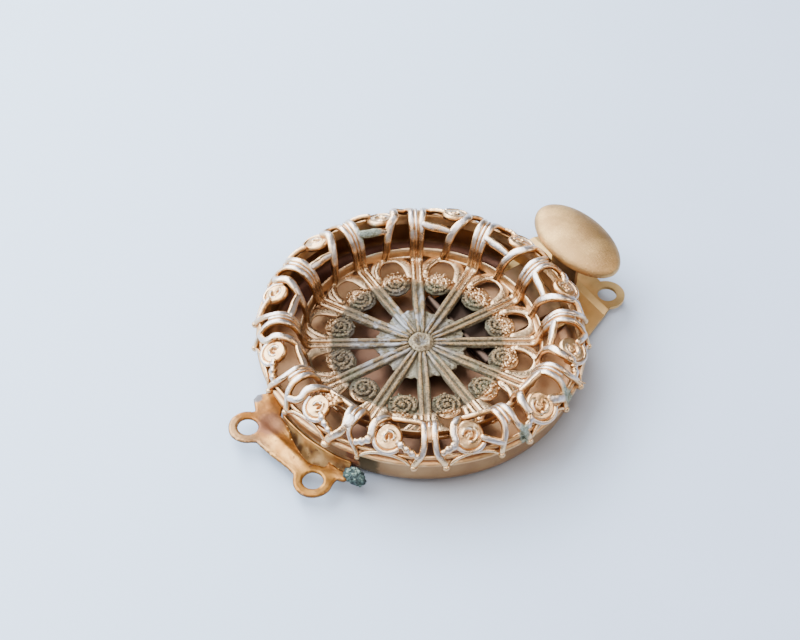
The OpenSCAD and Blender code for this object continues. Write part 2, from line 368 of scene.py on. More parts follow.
def closed_shell(rings, relief):
    """Rings of points, row by row, closed by a flat cap at each end, with faces outwards."""
    rows, columns = rings.shape[:2]
    points = rings.reshape(-1, 3)
    quads = woven(rows, columns)
    caps = [np.arange(columns)[::-1], (rows - 1) * columns + np.arange(columns)]
    volume = six_volumes(points, quads)
    for cap in caps:
        volume += np.sum(points[cap[0]] * np.cross(points[cap[1:-1]], points[cap[2:]]))
    if volume < 0:
        quads, caps = quads[:, ::-1], [cap[::-1] for cap in caps]
    return points, quads, caps, np.broadcast_to(relief, (rows, columns)).reshape(-1)


def turned_shell(shell, degrees):
    """A shell turned about the vertical axis."""
    c, s = np.cos(np.radians(degrees)), np.sin(np.radians(degrees))
    return (shell[0] @ np.array([[c, s, 0], [-s, c, 0], [0, 0, 1]]), *shell[1:])


def smooth_line(corners, count):
    """A Catmull-Rom curve through the corners, spaced evenly along its length.

    Between corners b and c, with a before and d after, the point at share t is
    (2b + (c-a)t + (2a-5b+4c-d)t^2 + (3b-a-3c+d)t^3) / 2."""
    corners = np.asarray(corners, float)
    padded = np.vstack([2 * corners[0] - corners[1], corners, 2 * corners[-1] - corners[-2]])
    u = np.linspace(0, len(corners) - 1 - 1e-9, 40 * len(corners))
    i = u.astype(int)
    t = (u - i)[:, None]
    a, b, c, d = (padded[i + n] for n in range(4))
    line = (2 * b + (c - a) * t + (2 * a - 5 * b + 4 * c - d) * t**2 + (3 * b - a - 3 * c + d) * t**3) / 2
    length = lengths_along(line)
    even = np.linspace(0, length[-1], count)
    return np.stack([np.interp(even, length, line[:, n]) for n in range(line.shape[1])], 1)


def lengths_along(line):
    """How far each point lies along the line from its first one."""
    return np.concatenate([[0], np.cumsum(np.linalg.norm(np.diff(line, axis=0), axis=1))])


def unit_rows(vectors):
    """Each row scaled to length 1."""
    return vectors / np.linalg.norm(vectors, axis=-1, keepdims=True)


def dish_up(line):
    """Which way is out of the metal: up on the floor, square to the ellipses on the rim."""
    r = np.hypot(line[:, 0], line[:, 1])
    reach = np.where(r < crest_radius, crest_radius - foot_radius, edge_radius - crest_radius)
    across = (r - crest_radius) / reach**2
    rise = np.maximum(line[:, 2] - wire_height, 0.05) / rim_rise**2
    on_rim = np.clip((r - 6.9) / 0.5, 0, 1)
    across, rise = on_rim * across, on_rim * rise + (1 - on_rim)
    return unit_rows(points_at(across * line[:, 0] / r, across * line[:, 1] / r, rise))


def wire(line, half_width, half_height, up=None, sides=12, beads=0.0, bead_pitch=0.4, tone=1.0):
    """A flat-topped wire swept along a line and rounded off at its ends.

    Its section is the oval (w c|c|^-0.25, h s|s|^-0.25) for c = cos, s = sin of the turn.
    Beads swell it by the share beads * cos(2 pi l / bead_pitch) at length l."""
    run = unit_rows(np.gradient(line, axis=0))
    side = unit_rows(np.cross(run, dish_up(line) if up is None else up))
    normal = np.cross(side, run)
    length = lengths_along(line)
    to_end = np.minimum(length, length[-1] - length) / np.max(half_width)
    swell = np.sqrt(np.clip(1 - (1 - np.minimum(to_end, 1)) ** 2, 0.02, 1))
    swell = swell * (1 + beads * np.cos(2 * np.pi * length / bead_pitch))
    turn = full_turn(sides)[0] + np.pi / sides
    c, s = np.cos(turn), np.sin(turn)
    wide = (half_width * swell)[:, None, None] * (c * np.abs(c) ** -0.25)[None, :, None]
    high = (half_height * swell)[:, None, None] * (s * np.abs(s) ** -0.25)[None, :, None]
    rings = line[:, None] + wide * side[:, None] + high * normal[:, None]
    # Relief is highest on the wire's top and falls underneath and towards its ends; the gilt paints light and
    # shade by it.
    relief = tone * (0.5 + 0.5 * s[None, :]) * (0.7 + 0.3 * np.clip(swell, 0, 1.1)[:, None])
    return closed_shell(rings, relief)


def bead(centre, radius, height=None, rows=9, sides=12, tone=1.0):
    """A ball, or an egg with its own half height, as rings between two tiny caps."""
    height = radius if height is None else height
    tilt = np.linspace(0.06, np.pi - 0.06, rows)[:, None]
    rings = around(radius * np.sin(tilt), full_turn(sides), height * np.cos(tilt))
    return closed_shell(rings + centre, tone * (0.6 + 0.4 * np.cos(tilt)))


def hoop(profile, relief, count=192):
    """A closed outline of radius and height carried round the vertical axis.

    Each corner of the outline has its own relief."""
    profile = np.asarray(profile, float)
    points = around(profile[:, 0], full_turn(count).T, profile[:, 1]).reshape(-1, 3)
    quads = woven(count + 1, len(profile)) % len(points)
    if six_volumes(points, quads) < 0:
        quads = quads[:, ::-1]
    return points, quads, [], np.tile(relief, count)


def coin(radius_at, top, under, rows=14, count=96, tone=0.7):
    """A flat boss: radius_at gives its edge for each angle, top its height for share and angle.

    Its rings run from the middle outwards over the top, down the edge and back below."""
    turn = full_turn(count)
    share = np.linspace(0.01, 1, rows)[:, None]
    edge = radius_at(turn) * np.ones_like(turn)
    r = np.concatenate([share * edge, 1.02 * edge, 0.97 * edge, 0.01 * edge])
    levels = [top(share, turn), 0.5 * top(share[-1:], turn) + 0.5 * under, under, under]
    z = np.concatenate([level * np.ones_like(turn) for level in levels])
    relief = np.concatenate([np.full(rows, tone), [0.4 * tone, 0.1, 0.0]])[:, None]
    return closed_shell(around(r, turn, z), relief)


def add_piece(name, shells, finish, body, replaced=()):
    """One object from many closed shells, in millimetres, smooth shaded, on a CAD body."""
    points = np.concatenate([shell[0] for shell in shells]) * MM
    starts = np.concatenate([[0], np.cumsum([len(shell[0]) for shell in shells])])
    faces = []
    for start, shell in zip(starts, shells):
        faces += (shell[1] + start).tolist()
        faces += [(cap + start).tolist() for cap in shell[2]]
    mesh = bpy.data.meshes.new(name)
    mesh.from_pydata(points.tolist(), [], faces)
    relief = mesh.attributes.new("relief", "FLOAT", "POINT")
    relief.data.foreach_set("value", np.concatenate([s[3] for s in shells]).astype(np.float32))
    mesh.polygons.foreach_set("use_smooth", np.ones(len(mesh.polygons), bool))
    mesh.materials.append(finish.material)
    piece = new_object(name, mesh)
    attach(piece, body)
    if replaced:
        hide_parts(*replaced)


def polar_rows(rows):
    """Rows of degrees, radius and height as points."""
    rows = np.asarray(rows, float)
    return around(rows[:, 1], np.radians(rows[:, 0]), rows[:, 2])


def rim_row(degrees, arc, lift=0.0):
    """Degrees, radius and height of a place on the rim's section.

    The section is two quarter ellipses that meet at the crest, where arc is 90."""
    a = np.radians(arc)
    reach = crest_radius - foot_radius if arc < 90 else edge_radius - crest_radius
    out = np.array([-np.cos(a) / reach, np.sin(a) / rim_rise])
    out = lift * out / np.hypot(*out)
    return degrees, crest_radius - np.cos(a) * reach + out[0], wire_height + rim_rise * np.sin(a) + out[1]


boss_radius = 0.78
boss_top = 1.52
hub = coin(
    lambda turn: boss_radius + 0.03 * np.cos(5 * turn),
    lambda share, turn: (boss_top + 0.22 * np.exp(-(((share - 0.66) / 0.2) ** 2))
                         - 0.08 * np.exp(-((share / 0.3) ** 2))),
    cup_under,
)
spoke_turn = np.radians(button_turn + sector_turn / 2)
web_radius = 2.72
web_top = 1.38
web = coin(
    lambda turn: (web_radius + 0.45 * (0.5 + 0.5 * np.cos(sectors * (turn - spoke_turn))) ** 3
                  + 0.09 * np.sin(5 * turn + 1) + 0.06 * np.sin(17 * turn) + 0.04 * np.sin(41 * turn)),
    lambda share, turn: web_top - 0.05 * share**4 + 0.015 * np.cos(9 * turn + 7 * share),
    cup_under, rows=18, count=192,
)
floor_shells = [hub, web]
rosette_radius = 5.2
rosette_top = 1.5
rosette_crumbs = 105
coil_outer = 0.74
coil_turns = 2.1
coil_leaves = 65
coil_points = 130
horseshoe_rows = [
    (-10.6, 5.55, 1.38), (-10.0, 6.2, 1.4), (-8.6, 6.75, 1.42), (-5, 7.2, 1.44), (0, 7.26, 1.46),
    (5, 7.2, 1.44), (8.6, 6.75, 1.42), (10.0, 6.2, 1.4), (10.6, 5.55, 1.38),
]
flange_width = [0.26, 0.36, 0.3, 0.22, 0.3, 0.36, 0.26]
foot_wire_radius = 7.42
for k in range(sectors):
    spread = chance.normal(0, 1, 8)
    plate = coin(
        lambda turn: 0.93 + 0.03 * np.cos(3 * turn + spread[0]) + 0.02 * np.sin(11 * turn),
        lambda share, turn: 1.36 + 0.05 * (1 - share**2),
        cup_under, rows=6, count=40, tone=0.35,
    )
    share = np.linspace(0, 1, coil_points)
    turn = np.radians(coil_leaves + 360 * coil_turns * (1 - share))
    coil_line = around(coil_outer * (0.1 + 0.9 * share), turn, rosette_top - 0.07 * share)
    wander = np.cumsum(chance.normal(0, 0.3, (coil_points, 2)), axis=0)
    coil_line[:, :2] += 0.02 * wander / np.arange(1, coil_points + 1)[:, None] ** 0.5
    coil = wire(coil_line, 0.105 + 0.02 * share, 0.1, up=upward, sides=8, beads=0.25, bead_pitch=0.19)
    middle = bead((0, 0, rosette_top), 0.15, 0.12)
    offset = [rosette_radius + 0.02 * spread[2], 0.03 * spread[3], 0]
    sector = [(part[0] + offset, *part[1:]) for part in (plate, coil, middle)]
    for reach, turn, size in chance.uniform(0, 1, (rosette_crumbs, 3)):
        reach, turn = 0.92 * np.sqrt(reach), 2 * np.pi * turn
        centre = (rosette_radius + reach * np.cos(turn), reach * np.sin(turn), 1.6 - 0.15 * reach)
        sector.append(bead(centre, 0.04 + 0.065 * size**2, rows=5, sides=6, tone=0.25 + 0.7 * size))
    horseshoe = smooth_line(polar_rows(horseshoe_rows), 60)
    flange = np.interp(np.linspace(0, 1, 60), [0, 0.2, 0.4, 0.5, 0.6, 0.8, 1], flange_width)
    sector.append(wire(horseshoe, flange + 0.02 * spread[4], 0.1, up=upward, tone=0.8))
    foot = polar_rows([(degrees, foot_wire_radius, 1.4) for degrees in (-14, -10, -6, -2, 1.5)])
    sector.append(wire(smooth_line(foot, 20), 0.2, 0.17, up=upward))
    floor_shells += [turned_shell(shell, button_turn + k * sector_turn) for shell in sector]

foot_band = [
    (7.28, 1.36), (7.34, 1.6), (7.4, 1.85), (7.47, 2.08), (7.56, 2.12), (7.62, 2.04), (7.52, 1.7), (7.5, 1.3),
]
floor_shells.append(hoop(foot_band, [0.5, 0.6, 0.62, 0.7, 0.75, 0.5, 0.2, 0.1]))

glue_crumbs = chance.uniform(0, 1, (460, 4))
crumb_radius = 0.9 + 4.6 * np.sqrt(glue_crumbs[:, 0])
crumb_turn = 2 * np.pi * glue_crumbs[:, 1]
from_spoke = np.abs(np.angle(np.exp(1j * sectors * (crumb_turn - spoke_turn)))) * crumb_radius / sectors
on_metal = (crumb_radius < 2.6) | (from_spoke < 0.36)
crumb_rows = np.column_stack([crumb_radius, crumb_turn, glue_crumbs[:, 2:]])[on_metal]
for radius, turn, size, depth in crumb_rows:
    centre = around(radius, turn, 1.41 + 0.08 * depth)
    floor_shells.append(bead(centre, 0.03 + 0.045 * size**2, rows=5, sides=7, tone=0.3 + 0.7 * depth))

gilt = Finish("gilt_casting")
# relief, kept on every point of the cast pieces, is near 1 on tops and near 0 on undersides and in hollows;
# the gilt paints light where it is high and shade where it is low.
relief = gilt.note("relief")
height = gilt.axis(2)
from_middle = gilt.from_axis()
mottle = gilt.noise(1.1, 4)
fine = gilt.noise(5.0, 3)
grit = gilt.noise(6.5, 3, 0.75)

# Bare gilding: silvery where rubbed and partly a painted highlight there, painted light on the tops of wires,
# painted shade in brown under them and low on the dish's wall, and an even gold on the floor, darker towards
# the left
deep_gold = gilt.mix(mottle.between(0.3, 0.7), (0.55, 0.29, 0.12), (0.69, 0.42, 0.205))
bright_gold = gilt.mix(mottle.between(0.3, 0.7), (0.72, 0.42, 0.19), (0.84, 0.58, 0.33))
gold_painted_lit_and_shaded = gilt.mix(relief.between(0.5, 0.82), deep_gold, bright_gold)
# Silvering on the wires' tops: partly real wear of the gilding, partly a painted highlight.
silvered_and_highlit = height.between(2.6, 3.3) * relief.between(0.86, 0.98) * mottle.between(0.3, 0.52)
worn_and_highlit_gold = gilt.mix(silvered_and_highlit * 0.85, gold_painted_lit_and_shaded, (0.66, 0.61, 0.62))
gold_with_painted_shade = gilt.mix(relief.between(0.08, 0.45), (0.21, 0.095, 0.044), worn_and_highlit_gold)
inner_side = from_middle.below(8.2, 8.5)
# Painted shade low on the inner wall of the dish, under the crest.
painted_shade_low_wall = height.hill(2.0, 2.25, 2.75, 3.1) * inner_side
on_floor = height.below(2.05, 2.25) * inner_side
# The floor's gold is darker towards the left.
floor_darker_left = gilt.along(right_way).below(-6.5, -1.5)
even_gold = gilt.mix(fine, (0.48, 0.30, 0.16), (0.66, 0.45, 0.27))
floor_gold = gilt.mix(floor_darker_left * 0.75, even_gold, (0.19, 0.11, 0.065))
gold_shown = gilt.layers(
    gold_with_painted_shade,
    ((painted_shade_low_wall * 0.85).bounded(), (0.17, 0.09, 0.055)),
    (grit.between(0.6, 0.66) * silvered_and_highlit * 0.7, (0.12, 0.11, 0.12)),
    (on_floor * relief.between(0.1, 0.5) * 0.85, floor_gold),
)

# A crust of glue and tarnish over the middle, with rubbed spokes, painted shade in the grooves and grey glaze
crust_middle = gilt.vector("ADD", gilt.place, (0.42, 0.15, 0.0))
crust_reach = gilt.vector("LENGTH", gilt.vector("MULTIPLY", crust_middle, (1, 1, 0)))
crust_edge = crust_reach + (fine - 0.5) * 0.5 + (mottle - 0.5) * 0.5
crusted = (crust_edge.below(5.3, 5.6) * on_floor).bounded()
sweep = height.maths("ARCTAN2", gilt.axis(1), gilt.axis(0))
wave = sweep.maths("COSINE", (sweep - spoke_turn) * sectors)
off_spoke = wave.maths("ARCCOSINE", wave) * from_middle / sectors
beside_spoke = off_spoke.hill(0.24, 0.34, 0.36, 0.6)
# Painted shade in the floor's hollows and in the grooves beside the spokes.
painted_crevice_shade = (relief.below(0.2, 0.6) + beside_spoke * from_middle.below(2.6, 3.0)).bounded()
along_spoke = gilt.noise(1.0, 3, place=gilt.gathered(off_spoke * 11, from_middle * 0.8, sweep * 3))
web_streaks = gilt.noise(1.0, 3, place=gilt.gathered(sweep * 9, from_middle * 0.7, height))
on_web = from_middle.hill(0.74, 0.84, 2.6, 3.3) * off_spoke.between(0.26, 0.36)
hub_line = from_middle.hill(0.7, 0.78, 0.86, 0.98)
glazed_way = gilt.vector("DOT_PRODUCT", gilt.vector("NORMALIZE", gilt.place), (-0.42, 0.906, 0.0))
glazed_side = glazed_way.between(0.0, 0.7) * from_middle.below(3.8, 4.8)
near_hub = from_middle.below(1.6, 2.9) * 0.4
radial = gilt.noise(2.4, 3, place=gilt.gathered(sweep * 2.2, from_middle * 0.5, height))
glaze = (glazed_side + near_hub) * radial.between(0.46, 0.6) * (1 - painted_crevice_shade * 0.7) * (1 - hub_line)
glaze_patch = glaze.bounded()
# The spokes are darker towards the left, near the hub.
spokes_darker_left = gilt.along(right_way).below(-4.6, -0.9) * along_spoke.between(0.4, 0.6)
hub_ring = from_middle.below(0.72, 0.86)
hub_tan = gilt.mix(grit.between(0.42, 0.58), (0.12, 0.085, 0.045), (0.40, 0.31, 0.19))
crust_shown = gilt.layers(
    gilt.mix(fine.between(0.38, 0.62), (0.042, 0.032, 0.018), (0.125, 0.09, 0.045)),
    (grit.between(0.52, 0.62) * 0.7, (0.23, 0.207, 0.145)),
    (mottle.between(0.5, 0.64) * 0.5, (0.16, 0.19, 0.12)),
    (relief.between(0.7, 0.92) * along_spoke.between(0.38, 0.58) * 0.85, (0.345, 0.205, 0.082)),
    (web_streaks.between(0.4, 0.58) * on_web * 0.8, (0.325, 0.285, 0.205)),
    ((painted_crevice_shade * 0.75 + hub_line * 0.5).bounded(), (0.055, 0.045, 0.022)),
    (grit.below(0.4, 0.47) * 0.85, (0.04, 0.032, 0.018)),
    (glaze_patch * 0.7, (0.43, 0.46, 0.52)),
    (spokes_darker_left * from_middle.between(1.3, 2.6) * 0.72, (0.075, 0.062, 0.05)),
    (hub_ring * from_middle.between(0.25, 0.5) * 0.8, hub_tan),
)
cup_colour = gilt.mix(crusted * 0.95, gold_shown, crust_shown)

green_places = (((1.44, 7.94), 0.85), ((4.3, -9.35), 0.65), ((0.2, -10.1), 0.35))
green_blots = sum(blot(gilt, spot, spot_size, fine) for spot, spot_size in green_places)
green_spots = (green_blots * height.between(1.9, 2.3) * 1.2).bounded()
verdigris = gilt.mix(grit.between(0.4, 0.62), (0.07, 0.12, 0.09), (0.30, 0.37, 0.30))
gilt.bump(fine * 0.3 + grit * (crusted * (1.1 - hub_ring * 0.4) + green_spots + 0.1), 0.08)
gilt.wear(
    base_color=gilt.mix(green_spots * 0.85, cup_colour, verdigris),
    metallic=1 - (crusted * 0.6 + green_spots * 0.7).bounded(),
    roughness=(0.18 + mottle * 0.14 + silvered_and_highlit * 0.09 + crusted * (0.3 - glaze_patch * 0.22)
               + green_spots * 0.3 + (1 - relief) * 0.12).bounded(),
)
add_piece("filigree_floor", floor_shells, gilt, "box", ["filigree_cup"])

# Each spoke is a pair of ridges. They climb the dish's wall side by side, turn over the
# crest, part like a wishbone on the outside and end in two small balls by the rail.

ridge_rows = [
    (0.11, 0.74, 1.44), (0.17, 1.6, 1.4), (0.2, 2.7, 1.4),
    (0.21, 4.6, 1.4), (0.22, 6.4, 1.4), (0.24, 7.12, 1.5),
]
wall_rows = [
    (0.26, 20), (0.28, 38), (0.31, 56), (0.33, 74), (0.34, 92),
    (0.35, 108), (0.42, 120), (0.56, 131), (0.75, 141), (0.93, 151),
]
ridge_end = (1.02, 10.32, 2.2)
from_crest, to_end = 10, 16
leg_offsets = {6: [0.31, 0.2, 0.15, 0.3, 0.6, 0.9], 7: [0.31, 0.31, 0.33, 0.39, 0.52, 0.8]}
leg_share = {(6, -1): 1.3, (6, 1): 0.8, (7, -1): 1.12, (7, 1): 1.12}
run_together = {6}
straight_legs = {7}
knob_radii = {(6, -1): 0.31}
bed_arcs = (20, 38, 56, 74, 92, 108, 118)
stem_arcs = (90, 98, 108, 117, 125)
thin_arcs = (8, 30, 50, 70, 90)
thin_arcs_outside = (108, 114)


def rim_curve(arcs, lift, count, aside=0.0):
    """A line up the rim's section through those arcs, in the plane where y is aside."""
    line = smooth_line(np.array([rim_row(0, arc, lift)[1:] for arc in arcs]), count)
    return points_at(line[:, 0], aside, line[:, 1])


rib_shells = []
for k in range(sectors):
    spread = chance.normal(0, 1, 12)
    rib = []
    for side in (-1, 1):
        rows = ridge_rows + [(offset, *rim_row(0, arc)[1:]) for offset, arc in wall_rows] + [ridge_end]
        rows = np.array(rows)
        rows[from_crest:, 0] += 0.04 * spread[side]
        if k in leg_offsets:
            rows[from_crest:to_end, 0] = leg_offsets[k]
        path = points_at(np.sqrt(rows[:, 1] ** 2 - rows[:, 0] ** 2), side * rows[:, 0], rows[:, 2])
        line = smooth_line(path, 120)
        s = np.linspace(0, 1, len(line))
        leg = leg_share.get((k, side), 1.0)
        ridge_width = [0.1, 0.15, 0.17, 0.2, 0.22, 0.2 * leg, 0.19 * leg]
        half_width = np.interp(s, [0, 0.15, 0.45, 0.6, 0.75, 0.9, 1], ridge_width)
        rib.append(wire(line, half_width * (1 + 0.05 * spread[2 + side]), 0.17))
        knob = path[-1] + [0.02, 0.03 * spread[5 + side], -0.05]
        rib.append(bead(knob, knob_radii.get((k, side), 0.23 + 0.02 * spread[8 + side]), 0.21))
    bed_rows = ridge_rows + [rim_row(0, arc) for arc in bed_arcs]
    bed_line = smooth_line(np.array([(row[1], 0, row[2]) for row in bed_rows]), 90)
    bed_line = bed_line - 0.05 * dish_up(bed_line)
    bed_width = np.interp(bed_line[:, 0], [2.5, 3.2, 4.8, 6.0, 7.2, 8.6], [0.3, 0.42, 0.42, 0.42, 0.4, 0.44])
    on_wall = np.clip((bed_line[:, 2] - 1.5) / 0.6, 0, 1)
    # The bed's low tone of 0.4 paints it in shade in the groove between the ridges.
    rib.append(wire(bed_line, bed_width, 0.1 + 0.03 * on_wall, tone=0.4))
    if k in run_together:
        rib.append(wire(rim_curve(stem_arcs, 0.02, 30), np.linspace(0.4, 0.3, 30), 0.18))
    arcs = thin_arcs if k in straight_legs else thin_arcs + thin_arcs_outside
    rib.append(wire(rim_curve(arcs, 0.04, 50, 0.03 * spread[11]), 0.11, 0.13))
    rib_shells += [turned_shell(shell, button_turn + sector_turn * (k + 0.5)) for shell in rib]

add_piece("filigree_ribs", rib_shells, gilt, "box", ["filigree_cup"])

# Between two ribs a scroll rises: its wire leaves the rosette, climbs the dish's wall, passes
# a scroll button on the rim's shoulder and ends at the next rib, with a strut on the button's
# other side and a bar high on the wall. A gallery strip runs round below the buttons.

button_radius = 9.3
button_height = 3.42
button_tilt = np.radians(27)
disc_radii = (0.8, 0.8, 0.8, 0.8, 0.76, 0.76, 0.75, 0.8, 0.9, 0.92, 0.86, 0.8)
disc_top = 0.17
button_drift = (0.3, -0.3, 0.1, -1.3, 0.3, -0.1, 0.9, 0.2, -0.5, -0.7, -0.2, 1.3)
button_reach = (0, 0.2, -0.25, 0, -0.05, 0.05, -0.05, 0, -0.1, 0.2, 0, 0.1)
curl_radius = (0.36, 0.34, 0.36, 0.34, 0.36, 0.32, 0.28, 0.31, 0.42, 0.5, 0.45, 0.38)
curl_opening = (-0.6, 0.4, 2.0, 0.9, -1.2, 2.6, -0.4, 0.5, -0.9, 2.5, 2.2, 0.2)


def scroll_button(disc_radius, radius, opening):
    """A flat disc with a raised curl on it, painted lighter, a painted shade line in the groove inside the
    curl and a soft edge.

    With w the angle from the opening, the curl follows radius + 0.06 w / pi and rises by
    0.07 exp(-((r - curl) / 0.09)^2), fading near the opening."""
    turn = full_turn(48)
    r = np.linspace(0.01, 1, 28)[:, None] * disc_radius
    off = np.angle(np.exp(1j * (turn - opening)))
    there = np.clip((np.abs(off) - 0.5) / 0.35, 0, 1)
    curl = np.exp(-(((r - radius - 0.06 * off / np.pi) / 0.09) ** 2)) * there
    hollow = np.exp(-(((r - radius + 0.17 - 0.06 * off / np.pi) / 0.065) ** 2)) * there
    edge = np.clip((r / disc_radius - 0.84) / 0.16, 0, 1) ** 2
    rise = disc_top + 0.07 * curl - 0.1 * hollow - 0.14 * edge + 0.015 * np.sin(5 * r + 3 * turn)
    below = np.array([[1.02, -0.06], [0.97, -0.17], [0.02, -0.18]])
    r_all = np.concatenate([r, below[:, :1] * disc_radius])
    z_all = np.concatenate([rise, below[:, 1:] * np.ones_like(turn)])
    # The tone paints light and shade: lighter on the raised curl, darker in the groove inside it and towards
    # the edge.
    tone = np.clip(0.66 + 0.28 * curl - 0.55 * hollow - 0.1 * edge + 0.06 * np.sin(4 * turn + 6 * r), 0, 1)
    tone = np.concatenate([tone, np.array([[0.4], [0.1], [0]]) * np.ones_like(turn)])
    return around(r_all, turn, z_all), tone


def set_on_shoulder(local, k):
    """Points of a disc, tilted outwards and set at the place of button k on the rim."""
    c, s = np.cos(button_tilt), np.sin(button_tilt)
    x, y, z = np.moveaxis(local, -1, 0)
    out = button_radius + button_reach[k] + c * x + s * z
    along = y + np.radians(button_drift[k]) * button_radius
    return points_at(out, along, button_height - s * x + c * z)


def rim_line(rows, count):
    """A smooth line on the rim through rows of degrees, arc and lift."""
    return smooth_line(polar_rows([rim_row(*row) for row in rows]), count)


scroll_floor = [(10.0, 5.75, 1.42), (8.8, 6.4, 1.42), (5.4, 7.0, 1.43), (1.8, 7.3, 1.52)]
scroll_wall = [
    (0.2, 22, 0.02), (-0.8, 42, 0.04), (-2.9, 66, 0.04), (-5.3, 88, 0.02), (-6.1, 105, 0), (-5.9, 119, 0),
]
left_strut = [(-7.0, 128, 0.02), (-9.2, 134, 0.02), (-11.6, 139, 0)]
right_strut = [(3.0, 119, -0.04), (6.2, 129, 0.02), (8.9, 137, 0.02), (11.4, 144, 0)]
window_bar = [
    (13.6, 68, 0), (11.0, 64, 0.05), (8.0, 61, 0.07), (4.8, 60, 0.07), (1.6, 58, 0.05), (-1.8, 56, 0.02),
]
under_arch = [
    (-8.6, 158, 0), (-6.6, 150, 0), (-3.3, 144.5, 0), (0, 143, 0),
    (3.3, 144.5, 0), (6.6, 150, 0), (8.6, 158, 0),
]
scroll_width = [0.22, 0.22, 0.26, 0.29, 0.27, 0.24, 0.2]
bar_width = [0.22, 0.27, 0.27, 0.23, 0.2]
wire_half_height = 0.18
beaded_left = {7, 8, 9, 10}
beaded_right = {5, 6, 7, 11}
strut_widths = {9: 0.29}
pitted_edge = {5, 6, 7}
pit_turns = (-172, -150, -128, -106)
solder_lumps = {6}
solder_grains = 44
button_shells = []
for k in range(sectors):
    spread = chance.normal(0, 1, 12)
    local, button_relief = scroll_button(disc_radii[k], curl_radius[k], curl_opening[k])
    sector = [closed_shell(set_on_shoulder(local, k), button_relief)]
    collar = around(disc_radii[k] + 0.09, np.radians(np.linspace(-112, 58, 30)), -0.01)
    sector.append(wire(set_on_shoulder(collar, k), 0.15, wire_half_height))
    # The pits along some buttons' edges are small beads of tone 0.05, painted in the gilt's dark shade of a
    # hollow.
    for angle in np.radians(pit_turns) if k in pitted_edge else ():
        pit = set_on_shoulder(around(0.79, angle, 0.33), k)
        sector.append(bead(pit, 0.075, 0.07, rows=6, sides=8, tone=0.05))
    scroll = polar_rows(scroll_floor + [rim_row(*row) for row in scroll_wall + left_strut])
    uneven = scroll[len(scroll_floor):-1]
    uneven += 0.02 * chance.normal(0, 1, uneven.shape)
    s = np.linspace(0, 1, 110)
    half_width = np.interp(s, [0, 0.26, 0.42, 0.6, 0.74, 0.85, 1], scroll_width)
    left_beads = 0.16 * np.clip((s - 0.8) / 0.05, 0, 1) if k in beaded_left else 0.0
    sector.append(wire(smooth_line(scroll, 110), half_width, wire_half_height, beads=left_beads))
    strut_width = strut_widths.get(k, 0.2) + 0.01 * spread[3]
    strut_beads = 0.2 if k in beaded_right else 0.03
    sector.append(wire(rim_line(right_strut, 36), strut_width, 0.19, beads=strut_beads))
    half_width = np.interp(np.linspace(0, 1, 44), [0, 0.25, 0.55, 0.8, 1], bar_width)
    sector.append(wire(rim_line(window_bar, 44), half_width, wire_half_height))
    sector.append(wire(rim_line(under_arch, 44), 0.11, 0.11))
    for a, b, c in chance.normal(0, 1, (solder_grains, 3)) if k in solder_lumps else ():
        grain = polar_rows([rim_row(4.2 + 1.8 * a, 72 + 9 * b, -0.04 + 0.06 * c)])[0]
        sector.append(bead(grain, 0.15 + 0.06 * abs(c), 0.15, rows=6, sides=8, tone=0.45))
    button_shells += [turned_shell(shell, button_turn + sector_turn * k) for shell in sector]

spike = smooth_line([(5.1, -8.45, 2.95), (5.4, -8.72, 2.8), (5.74, -9.04, 2.62)], 20)
button_shells.append(wire(spike, np.linspace(0.1, 0.03, 20), 0.07))
gallery = [
    (9.62, 2.12), (10.2, 2.12), (10.25, 2.2), (10.2, 2.32), (10.08, 2.38),
    (9.98, 2.42), (9.94, 2.48), (9.98, 2.55), (10.08, 2.6), (10.08, 2.72),
    (9.98, 2.8), (9.86, 2.8), (9.8, 2.74), (9.8, 2.3), (9.62, 2.24),
]
# The gallery strip's relief paints light on its bars and shade in its grooves.
gallery_relief = [0.2, 0.3, 0.5, 0.54, 0.3, 0.05, 0.0, 0.05, 0.3, 0.5, 0.54, 0.48, 0.36, 0.3, 0.26]
button_shells.append(hoop(gallery, gallery_relief))
add_piece("filigree_buttons", button_shells, gilt, "box", ["filigree_cup"])

# The oval press is a thin brass shell, crimped round the pad of the spring leaf. Its dome is finely brushed
# and matt.

press_place = (12.2, 0, 3.55)
press_half_length, press_half_width = 2.05, 3.6
press_dome = 0.9
press_edge = 0.12
turn = full_turn(128)
tilt = np.linspace(0.01, np.pi / 2, 34)[:, None]
dome_r, dome_z = np.sin(tilt) ** 0.96, press_dome * np.cos(tilt) ** 0.92
lip = np.array([[1.0, -0.06], [0.975, -press_edge], [0.8, -press_edge], [0.72, -0.06], [0.02, -0.04]])
r_all = np.concatenate([dome_r, lip[:, :1]])
z_all = np.concatenate([dome_z, lip[:, 1:]])
oval_rings = points_at(
    press_half_length * r_all * np.cos(turn), press_half_width * r_all * np.sin(turn), z_all)
press_shell = closed_shell(oval_rings + press_place, 0.7)

brushed = Finish("brushed_gilt_press")
hair = brushed.noise(1.6, 4, 0.7, brushed.stretched(9.0, 1.0, 1.0))
cross_hair = brushed.noise(1.6, 4, 0.7, brushed.stretched(1.4, 8.0, 1.0))
speckle = brushed.noise(7.5, 3, 0.7)
press_colour = brushed.layers(
    brushed.mix(brushed.noise(0.5, 3).between(0.38, 0.62), (0.375, 0.21, 0.08), (0.56, 0.335, 0.13)),
    # The light specks are painted glints on the matt dome; the dark specks are its tone.
    (speckle.below(0.38, 0.5) * 0.4, (0.33, 0.19, 0.09)),
    (speckle.between(0.54, 0.7) * 0.22, (0.76, 0.52, 0.27)),
)
brushed.bump(hair * 0.35 + cross_hair * 0.45 + speckle * 0.2, 0.06)
brushed.wear(base_color=press_colour, roughness=0.36 + cross_hair * 0.18)
add_piece("oval_press", [press_shell], brushed, "press", ["thumb_press"])

# The tongue is a flat stamped sheet with two eyelets, folded over at its inner end inside the
# box. The spring leaf rises from that fold, leaves by the slot and carries the oval press.

slot_edge = (8.2, 8.9)
deep_inside = (4.6, 5.6)


